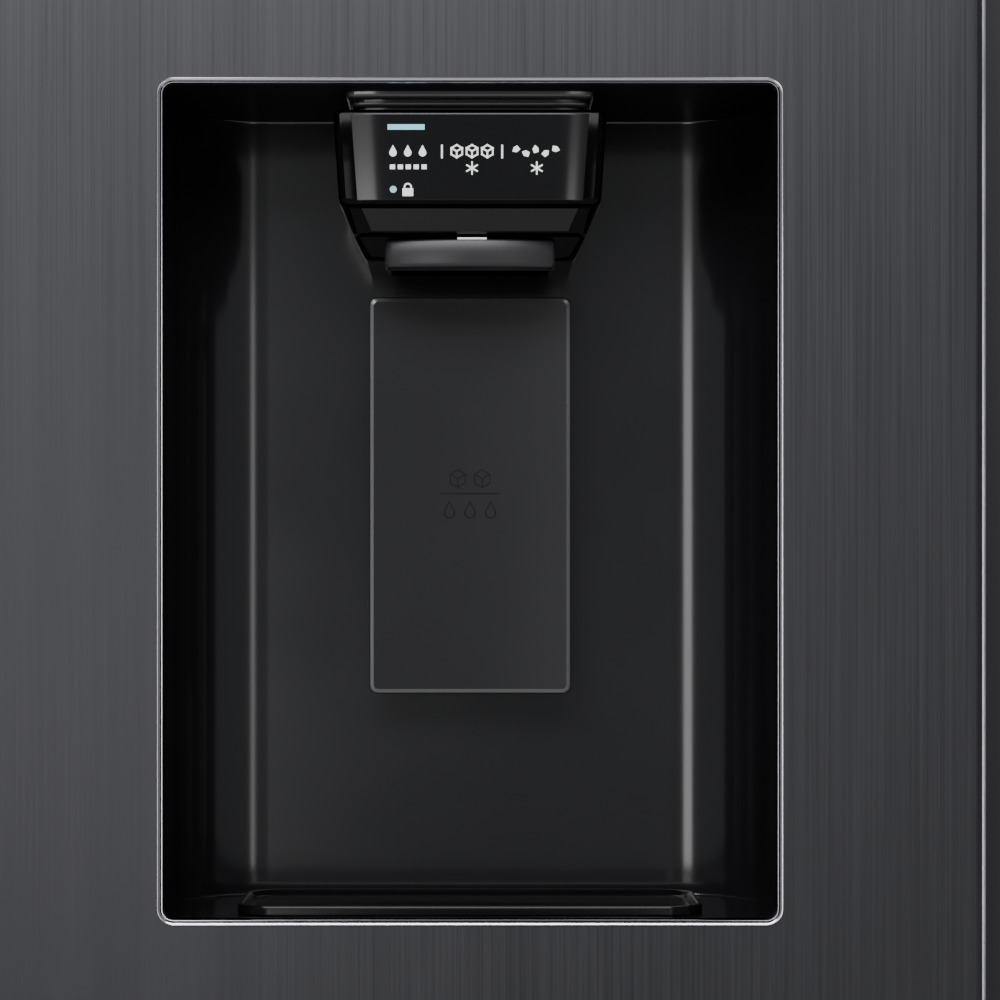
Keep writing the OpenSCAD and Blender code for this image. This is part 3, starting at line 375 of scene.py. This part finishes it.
# Drop below the recess's ceiling, half width and front depth, in millimetres: upper rim, lower rim
RIM_SECTIONS = [
    (0, 47.6, 15.0), (0.25, 48.5, 13.6), (0.6, 48.8, 13.2), (1.2, 48.8, 13.25), (1.8, 48.8, 13.4),
    (2.4, 48.7, 13.7), (2.8, 48.4, 14.2), (3.1, 47.6, 15.4), (3.2, 45.0, 18.0),
    (4.3, 45.0, 18.0), (4.4, 46.0, 15.4), (4.7, 46.6, 14.2), (5.0, 46.7, 14.0), (5.4, 46.7, 14.1),
    (5.8, 46.6, 14.35), (6.2, 46.3, 14.9), (6.4, 45.6, 16.0), (6.5, 44.6, 18.0), (8.4, 44.6, 18.0),
]

# The same three measures for the body: round the window, under the lip, down to the spout
HEAD_SECTIONS = [
    (7.2, 50.0, 18.0), (7.6, 52.6, 15.0), (8.6, 53.6, 13.2), (10, 53.9, 12.8), (42, 51.9, 13.4),
    (44.2, 51.4, 14.0), (45.2, 50.8, 15.2), (46, 50.3, 17.6), (55, 46.6, 22.6),
    (55.8, 46.2, 29.0), (63, 42.4, 33.0), (64.6, 41.2, 35.0),
]

# The sloped lip below the window: drop and half width of its two edges, depth and slope
LIP_TOP = (46.2, 42.9)
LIP_FOOT = (54.8, 39.0)
LIP_DEPTH = 15.4
LIP_SLOPE = 0.62


def head_ring(drop, half_w, front, turned, steps=6):
    """Level section of the control head: flat at the recess's rear wall, its front ends turned away."""
    r = 3.5
    flat = half_w - r
    turn = 0.70 * half_w
    points = [(half_w, RECESS_D / MM), (half_w, front + 20)]

    def bow(x):
        return turned * (max(0, x - turn) / (flat - turn)) ** 2

    for i in range(steps + 1):
        a = math.radians(75 * i / steps)
        points.append((flat + r * math.cos(a), front + bow(flat) + r - r * math.sin(a)))
    points += [(x, front + bow(x)) for x in [flat * (1 - t / 10) for t in range(0, 10)]]
    points.append((0, front))
    points += [(-x, y) for x, y in reversed(points[:-1])]
    return [(DISP_X + x * MM, SKIN_Y + y * MM, CEILING - drop * MM) for x, y in points]


def make_head():
    """Control head with two rims under the ceiling, a dark body and a lip below the window."""
    # open at the top, where the ice flap swings down into the head
    # the rims take the lighter black, a painted sheen
    rings = [head_ring(*section, 0.85) for section in RIM_SECTIONS]
    finish_piece(loft(rings, (False, False)), "head_rims", RIM_SHEEN, "freezer_door", 40)
    rings = [head_ring(*section, 0) for section in HEAD_SECTIONS]
    body = finish_piece(loft(rings, (False, True)), "control_head", HEAD, "freezer_door", 38)
    (top, top_w), (foot, foot_w) = LIP_TOP, LIP_FOOT
    rings = []
    for inset, push in ((0, 2.4), (0, 0.5), (0.15, 0.12), (0.5, 0)):
        outline = [(top_w - inset, top + inset), (-top_w + inset, top + inset),
                   (-foot_w + inset, foot - inset), (foot_w - inset, foot - inset)]
        rings.append([(DISP_X + x * MM, SKIN_Y + (LIP_DEPTH + LIP_SLOPE * (d - top) + push) * MM,
                       CEILING - d * MM) for x, d in outline])
    finish_piece(loft(rings), "head_lip", LIP, "freezer_door", 9)
    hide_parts("control_housing")


# The window in millimetres: drop and half width of its two edges, then how its face lies
WINDOW_TOP = (9.6, 46.9)
WINDOW_FOOT = (43.6, 44.5)
WINDOW_DEPTH = 11.6
WINDOW_LEAN = 0.9
WINDOW_FLAT = 34
WINDOW_TURN = (13, 1.15)


def window_front(x, drop):
    """Depth of the window's face behind the door skin, in millimetres."""
    lean = (drop - WINDOW_TOP[0]) / (WINDOW_FOOT[0] - WINDOW_TOP[0])
    turn_w, turn_depth = WINDOW_TURN
    turn = max(0, abs(x) - WINDOW_FLAT) / turn_w
    return WINDOW_DEPTH + WINDOW_LEAN * lean + turn_depth * turn ** 2


def make_window():
    """Deep black window, crowned so that its ends turn away."""
    rings = []
    columns = 32
    across = [-1 + 2 * i / columns for i in range(columns + 1)]
    for push, shrink in ((1.6, 0), (0.25, 0), (0.05, 0.12), (0, 0.3)):
        ring = []
        top = [(t * (WINDOW_TOP[1] - shrink), WINDOW_TOP[0] + shrink) for t in across]
        foot = [(t * (WINDOW_FOOT[1] - shrink), WINDOW_FOOT[0] - shrink) for t in reversed(across)]
        for x, drop in top + foot:
            depth = window_front(x, drop) + push
            ring.append((DISP_X + x * MM, SKIN_Y + depth * MM, CEILING - drop * MM))
        rings.append(ring)
    bm = loft(rings, (True, False))
    last = 2 * columns + 1
    front = bm.verts[:][-last - 1:]
    for i in range(columns):
        bm.faces.new((front[i], front[i + 1], front[last - i - 1], front[last - i]))
    piece = finish_piece(bm, "display_window", WINDOW, "freezer_door", 9)
    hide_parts("display_panel")


def flat_marks(name, shapes, place, material, body, lift=0.12, depth=0.25):
    """Thin raised marks: each shape is a list of points (x, drop) in millimetres on a face."""
    bm = bmesh.new()
    for shape in shapes:
        front = [bm.verts.new(place(x, d, -lift)) for x, d in shape]
        back = [bm.verts.new(place(x, d, depth)) for x, d in shape]
        bm.faces.new(front)
        bm.faces.new(back[::-1])
        for i in range(len(shape)):
            j = (i + 1) % len(shape)
            bm.faces.new((front[i], back[i], back[j], front[j]))
    return finish_piece(bm, name, material, body, 30)


def disc(x, d, r, steps=20):
    return [(x + r * math.cos(2 * math.pi * i / steps), d + r * math.sin(2 * math.pi * i / steps))
            for i in range(steps)]


def bar(x0, x1, d0, d1):
    return [(x0, d0), (x1, d0), (x1, d1), (x0, d1)]


def drop_shape(x, d, r):
    """A water drop about a point: a round foot and a pointed top."""
    points = [(x + r * math.cos(a), d + r * math.sin(a))
              for a in [math.radians(-25 + 230 * i / 16) for i in range(17)]]
    return points + [(x, d - 2.1 * r)]


def outline_of(shape, width):
    """Four-sided strokes along a closed shape."""
    strokes = []
    for (x0, d0), (x1, d1) in zip(shape, shape[1:] + shape[:1]):
        length = math.hypot(x1 - x0, d1 - d0)
        nx, nd = (d1 - d0) / length * width / 2, -(x1 - x0) / length * width / 2
        ex, ed = (x1 - x0) / length * width / 2, (d1 - d0) / length * width / 2
        strokes.append([(x0 - ex + nx, d0 - ed + nd), (x1 + ex + nx, d1 + ed + nd),
                        (x1 + ex - nx, d1 + ed - nd), (x0 - ex - nx, d0 - ed - nd)])
    return strokes


def cube_icon(x, d, size, width):
    """An ice cube seen from a corner, in strokes."""
    s = size / 2
    hexagon = [(x, d - s), (x + s * 0.87, d - s / 2), (x + s * 0.87, d + s / 2), (x, d + s),
               (x - s * 0.87, d + s / 2), (x - s * 0.87, d - s / 2)]
    strokes = outline_of(hexagon, width)
    for end in (hexagon[1], hexagon[3], hexagon[5]):
        strokes += outline_of([(x, d), end], width)[:1]
    return strokes


def shard_icon(x, d, size, turn):
    """A chip of crushed ice."""
    radii = (1.0, 0.72, 0.95, 0.66, 0.88)
    corners = [(size * r, turn + 2 * math.pi * i / 5) for i, r in enumerate(radii)]
    return [(x + r * math.cos(a), d + r * math.sin(a)) for r, a in corners]


def lock_icon(x, d, size):
    """A closed padlock."""
    half = size / 2
    shapes = [bar(x - half, x + half, d - 0.1 * size, d + 0.62 * size)]
    outer, inner = 0.38 * size, 0.24 * size
    arc = [math.radians(180 + 180 * i / 12) for i in range(13)]
    top = d - 0.22 * size
    for a, b in zip(arc, arc[1:]):
        shapes.append([(x + outer * math.cos(a), top + outer * math.sin(a)),
                       (x + outer * math.cos(b), top + outer * math.sin(b)),
                       (x + inner * math.cos(b), top + inner * math.sin(b)),
                       (x + inner * math.cos(a), top + inner * math.sin(a))])
    for side in (-1, 1):
        leg = x + side * (outer + inner) / 2
        shapes.append(bar(leg - 0.07 * size, leg + 0.07 * size, top, d))
    return shapes


def make_display_marks():
    """Lit pictograms, placed in millimetres: water, cubed ice, crushed ice, a lock and a choice bar."""
    def place(x, drop, push):
        return (DISP_X + x * MM, SKIN_Y + (window_front(x, drop) + push) * MM, CEILING - drop * MM)

    water = [drop_shape(x, 25.0, 1.45) for x in (-30.2, -24.4, -18.6)]
    cubes = sum([cube_icon(x, 24.4, 4.9, 0.62) for x in (-5.2, 0.8, 6.8)], [])
    chips = [shard_icon(18 + 3.9 * i, 24.3 + (0.9 if i % 2 else -0.7), 1.75, i) for i in range(5)]
    lines = [bar(x - 0.35, x + 0.35, 21.9, 27.2) for x in (-11.0, 12.6)]
    seconds = [bar(-31.4 + 3.1 * i, -29.4 + 3.1 * i, 29.6, 31.4) for i in range(5)]
    flakes = []
    flake_row, flake_r = 31.0, 2.3
    for x in (0.8, 26.2):
        for i in range(3):
            a = math.radians(30 + 60 * i)
            dx, dd = flake_r * math.cos(a), flake_r * math.sin(a)
            flakes += outline_of([(x - dx, flake_row - dd), (x + dx, flake_row + dd)], 0.6)[:1]
    lock_row = 39.3
    lock = lock_icon(-24.4, lock_row, 4.2)
    flat_marks("display_marks", water + cubes + chips + lines + seconds + flakes + lock, place, LIT_WHITE,
               "freezer_door")
    flat_marks("display_bar", [bar(-32.3, -17.8, 13.9, 16.0)], place, LIT_CYAN, "freezer_door")
    flat_marks("display_dot", [disc(-30.1, lock_row, 1.35)], place, LIT_BLUE, "freezer_door")


def spout_outline(half_w, half_d, inset, steps=14):
    """Plan of the spout: a bowed front, round corners and a straight rear."""
    w, d, r = half_w - inset, half_d - inset, 3 - 0.5 * inset
    bow = 3.6
    points = []
    for i in range(steps + 1):
        x = -(w - r) + 2 * (w - r) * i / steps
        points.append((x, -d + bow * (x / (w - r)) ** 2))
    for i in range(1, 9):
        a = math.radians(-60 + 60 * i / 8)
        points.append((w - r + r * math.cos(a), -d + bow + r + r * math.sin(a)))
    points += [(w, d - 1), (w - 1, d), (-w + 1, d), (-w, d - 1)]
    for i in range(8):
        a = math.radians(180 + 60 * i / 8)
        points.append((-w + r + r * math.cos(a), -d + bow + r + r * math.sin(a)))
    return points


def make_spout():
    """Grey apron with a bowed front round the throat that the ice falls through, lined in black as painted
    shade.
    """
    half_w = (nozzle_high.x - nozzle_low.x) / 2 / MM
    half_d = (nozzle_high.y - nozzle_low.y) / 2 / MM
    apron_half_d = 8
    mid_y = (nozzle_low.y + nozzle_high.y) / 2
    top, foot = nozzle_high.z, nozzle_low.z

    def ring(inset, z, depth):
        shift = (depth - half_d) * MM
        return [(DISP_X + x * MM, mid_y + y * MM + shift, z) for x, y in spout_outline(half_w, depth, inset)]

    apron = [ring(inset, z, apron_half_d) for inset, z in
             ((0.9, top), (0.3, top - 0.2 * MM), (0, top - 0.9 * MM), (0, foot + 1.6 * MM),
              (0.3, foot + 0.5 * MM), (0.9, foot), (1.3, foot + 0.3 * MM), (1.3, top))]
    piece = finish_piece(loft(apron + apron[:1], (False, False)), "spout_apron", SPOUT,
                         "freezer_door", 50)
    # the black lining inside the throat is painted shade for its dark inside
    throat = [ring(inset, z, half_d) for inset, z in
              ((1.0, top), (1.0, foot + 0.8 * MM), (1.6, foot + 0.4 * MM), (3.0, foot + 1.2 * MM),
               (3.0, top))]
    finish_piece(loft(throat + throat[:1], (False, False)), "spout_throat_shade", HEAD,
                 "freezer_door", 50)
    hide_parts("chute_nozzle")
    strip("spout_lamp", (DISP_X - 5 * MM, DISP_X + 6.6 * MM),
          (nozzle_low.y + 0.2 * MM, nozzle_low.y + 3 * MM), (top - 0.3 * MM, top + 0.4 * MM),
          LIT_WHITE, "freezer_door")


DISH = 1.8 * MM
PADDLE_R = 3.8
PIN_DEPTH = 73 * MM
PIN_DROP = 8 * MM
PIN_R = 2.5 * MM
PIN_HALF_W = 34 * MM
LUG_IN = 20 * MM
LUG_W = 4 * MM

# Inset from the plate's outline and depth behind its front, in millimetres
PADDLE_PROFILE = [(1.6, 5.0), (0.6, 4.8), (0.3, 4.2), (0.0, 3.2), (0.0, 1.2), (0.12, 0.8), (0.4, 0.5)]
PADDLE_BEVEL = [(0.4, 0.5), (0.75, 0.33), (1.75, 0.06), (1.95, 0.0)]


def dish(x, half_w):
    """How far the bent plate lies behind its front plane."""
    return DISH * (1 - (x / half_w) ** 2)


def plate_columns(half_w, half_h, r, corner=7, middle=16):
    """Top edge of a plate with round corners, from left to right."""
    right = []
    for i in range(corner + 1):
        a = math.radians(90 * i / corner)
        right.append((half_w - r + r * math.sin(a), half_h - r + r * math.cos(a)))
    across = [(half_w - r) * (2 * i / middle - 1) for i in range(1, middle)]
    return [(-x, z) for x, z in reversed(right)] + [(x, half_h) for x in across] + right


def make_paddle():
    """Push plate bent about an upright line, with a bevelled rim, two lugs and a pin; the bevel is a lighter
    metallic grey, a painted highlight.
    """
    half_w = (paddle_high.x - paddle_low.x) / 2
    half_h = (paddle_high.z - paddle_low.z) / 2
    mid_z = (paddle_low.z + paddle_high.z) / 2
    front = paddle_low.y

    def ring(inset, depth):
        top = plate_columns(half_w - inset * MM, half_h - inset * MM, (PADDLE_R - inset) * MM)
        outline = top + [(x, -z) for x, z in reversed(top)]
        return [(DISP_X + x, front + depth * MM + dish(x, half_w), mid_z + z) for x, z in outline]

    bm = loft([ring(*step) for step in PADDLE_PROFILE], (False, False))
    for step in (PADDLE_PROFILE[0], PADDLE_BEVEL[-1]):
        row = [bm.verts.new(p) for p in ring(*step)]
        last = len(row) - 1
        for i in range(len(row) // 2 - 1):
            bm.faces.new((row[i], row[i + 1], row[last - i - 1], row[last - i]))
    piece = finish_piece(bm, "push_paddle", PADDLE, "paddle", 10)
    rings = [ring(*step) for step in PADDLE_BEVEL]
    # the bevel takes the lighter grey, a painted highlight along the plate's rim
    finish_piece(loft(rings, (False, False)), "paddle_bevel_highlight", BEVEL, "paddle", 10)
    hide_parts("dispenser_paddle")

    def place(x, drop, push):
        return (DISP_X + x * MM, front + dish(x * MM, half_w) + push * MM, paddle_high.z - drop * MM)

    # the raised marks take a darker black, painted shade along their relief
    strokes = cube_icon(-5, 74.6, 7.2, 0.5) + cube_icon(5, 74.6, 7.2, 0.5)
    strokes += [bar(-12.3, 12.3, 80.5, 80.9)]
    for x in (-8.5, 0, 8.5):
        strokes += outline_of(drop_shape(x, 88.6, 2.1), 0.45)
    flat_marks("paddle_marks", strokes, place, MARK_SHADE, "paddle", 0.1, 0.3)

    pin_y, pin_z = SKIN_Y + PIN_DEPTH, paddle_high.z - PIN_DROP
    pin = [[(x, pin_y + y, pin_z + z) for y, z in rounded_outline(PIN_R, PIN_R, PIN_R, 5)]
           for x in (DISP_X - PIN_HALF_W, DISP_X + PIN_HALF_W)]
    finish_piece(loft(pin), "paddle_pin", BRIGHT, "paddle")
    for name, x in (("paddle_lug_left", DISP_X - LUG_IN - LUG_W), ("paddle_lug_right", DISP_X + LUG_IN)):
        lug = [[(end, pin_y + y, pin_z + z) for y, z in rounded_outline(5.8 * MM, 4.5 * MM, 3 * MM)]
               for end in (x, x + LUG_W)]
        finish_piece(loft(lug), name, PADDLE, "paddle")


def make_tray():
    """Drip tray with a rolled rim and a shallow basin."""
    half_w = (tray_high.x - tray_low.x) / 2 / MM
    half_d = (tray_high.y - tray_low.y) / 2 / MM
    mid_y = (tray_low.y + tray_high.y) / 2
    base = tray_low.z
    height = (tray_high.z - tray_low.z) / MM
    rings = []
    corner_r = 14
    for inset, level in ((0.6, 0.05), (0, 0.5), (0, height - 0.9), (0.3, height - 0.3), (1.0, height),
                         (1.9, height - 0.1), (2.6, height - 0.7), (3.4, height - 2.0), (4.6, height - 2.4)):
        outline = rounded_outline(half_w - inset, half_d - inset, corner_r - inset, 12)
        rings.append([(DISP_X + x * MM, mid_y + y * MM, base + level * MM) for x, y in outline])
    piece = finish_piece(loft(rings), "drip_tray_dish", TRAY, "tray", 40)
    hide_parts("drip_tray")


make_recess()
make_trim()
make_head()
make_window()
make_display_marks()
make_spout()
make_paddle()
make_tray()


# ------------------------------------------------------------------ doors and cabinet

def make_edge_strips():
    """Folded edges of both door skins, beside the grip channel, in bright metal that paints the highlight of
    the skins' rounded edges.
    """
    fold_w, fold_d = 1.7 * MM, 5 * MM
    side_proud, front_proud = 0.15 * MM, 0.25 * MM
    end_gap = 0.4 * MM
    z = (skin_low.z + end_gap, skin_high.z - end_gap)
    for name, edge, way, body in (("freezer_door_edge", skin_high.x, -1, "freezer_door"),
                                  ("fridge_door_edge", fridge_skin_low.x, 1, "fridge_door")):
        x = sorted((edge + way * fold_w, edge - way * side_proud))
        strip(name, x, (SKIN_Y - front_proud, SKIN_Y + fold_d), z, TRIM_AND_EDGE_HIGHLIGHT, body, 0.55 * MM)


make_edge_strips()

for node, body, slot, material, width in (
        ("hinge_covers", "cabinet", "cabinet_paint", PAINT, 3 * MM),
        ("water_filter", "filter", "part_white", WHITE, 1.2 * MM),
        ("filter_head", "cabinet", "part_white", WHITE, 2 * MM),
        ("ice_maker", "freezer_door", "part_white", WHITE, 1.5 * MM)):
    refine(node, body, material, width)


# ------------------------------------------------------------------ finishes of the CAD nodes

BY_SLOT = {
    "dark_steel": STEEL, "cabinet_paint": PAINT, "zinc_steel": ZINC, "hinge_steel": HINGE,
    "foam": FOAM, "liner_white": LINER, "part_white": WHITE, "seal_grey": SEAL,
    "clear_plastic": CLEAR, "shelf_glass": GLASS, "black_plastic": BLACK,
    "recess_black": RECESS, "display_black": WINDOW, "trim_metal": TRIM_AND_EDGE_HIGHLIGHT,
    "paddle_grey": PADDLE, "spout_grey": SPOUT, "compressor_black": ENAMEL, "coil_metal": TUBE,
    "fin_aluminium": FIN, "stainless": BRIGHT, "lamp": LAMP, "tyre_grey": TYRE,
}
OWN_FINISH = {"freezer_door_grip": GRIP, "fridge_door_grip": GRIP}
for part in frame["record"]["subparts"]:
    node = NODES[part["node"]]
    finish = OWN_FINISH.get(part["node"], BY_SLOT[part["material_slot"]])
    for i in range(len(node.data.materials)):
        node.data.materials[i] = finish


# ------------------------------------------------------------------ camera, floor and light

CAMERA_BACK = 1.0465
CAMERA_RISE = 0.129
camera_data = bpy.data.cameras.new("camera")
camera_data.lens = 97.2
camera_data.sensor_width = 36
camera_data.shift_x = 0.030
camera_data.shift_y = 0.093
camera = bpy.data.objects.new("camera", camera_data)
bpy.context.scene.collection.objects.link(camera)
camera.location = (DISP_X, SKIN_Y - CAMERA_BACK, trim_low.z + CAMERA_RISE)
camera.rotation_euler = (math.radians(90), 0, 0)
bpy.context.scene.camera = camera

floor_mat = moulded("pale_floor", (0.62, 0.62, 0.61), (0.55, 0.65), 40, 0.0004, variation=0.02)
floor_bm = bmesh.new()
bmesh.ops.create_circle(floor_bm, cap_ends=True, segments=96, radius=9)
floor_mesh = bpy.data.meshes.new("floor")
floor_bm.to_mesh(floor_mesh)
floor_bm.free()
floor_mesh.materials.append(floor_mat)
floor = bpy.data.objects.new("floor", floor_mesh)
bpy.context.scene.collection.objects.link(floor)


def softbox(name, place, target, size, power, colour=(1, 1, 1)):
    """A rectangular soft light at a place, turned towards a target."""
    data = bpy.data.lights.new(name, "AREA")
    data.shape = "RECTANGLE"
    data.size, data.size_y = size
    data.energy = power
    data.color = colour
    lamp = bpy.data.objects.new(name, data)
    bpy.context.scene.collection.objects.link(lamp)
    lamp.location = place
    lamp.rotation_euler = (Vector(target) - Vector(place)).to_track_quat("-Z", "Y").to_euler()


front = Vector((DISP_X, SKIN_Y, DISP_Z))
softbox("key_left", (DISP_X - 0.40, SKIN_Y - 2.4, 2.95), front, (2.3, 1.2), 72, (0.97, 0.98, 1.0))
# two upright strips on each side draw the bright lines down the recess's round corners
for side, across, wide, tall_power, low_power in (("left", -0.32, 0.25, 0.42, 1.25),
                                                  ("right", 0.30, 0.12, 0.14, 0.34)):
    x = DISP_X + across
    softbox("strip_" + side + "_tall", (x, SKIN_Y - 1.15, 1.16), front, (wide, 0.80), tall_power)
    softbox("strip_" + side + "_low", (x, SKIN_Y - 1.14, 1.075), front, (wide, 0.65), low_power)
softbox("rim_right", (2.6, 0.6, 2.2), (0, 0, 0.9), (1.4, 1.8), 60)
softbox("back_fill", (-1.2, 3.0, 2.4), (0, 0.3, 0.8), (2.2, 1.6), 80)

world = bpy.data.worlds.new("studio")
world.use_nodes = True
world.node_tree.nodes["Background"].inputs["Color"].default_value = (0.86, 0.88, 0.92, 1)
world.node_tree.nodes["Background"].inputs["Strength"].default_value = 0.22
bpy.context.scene.world = world
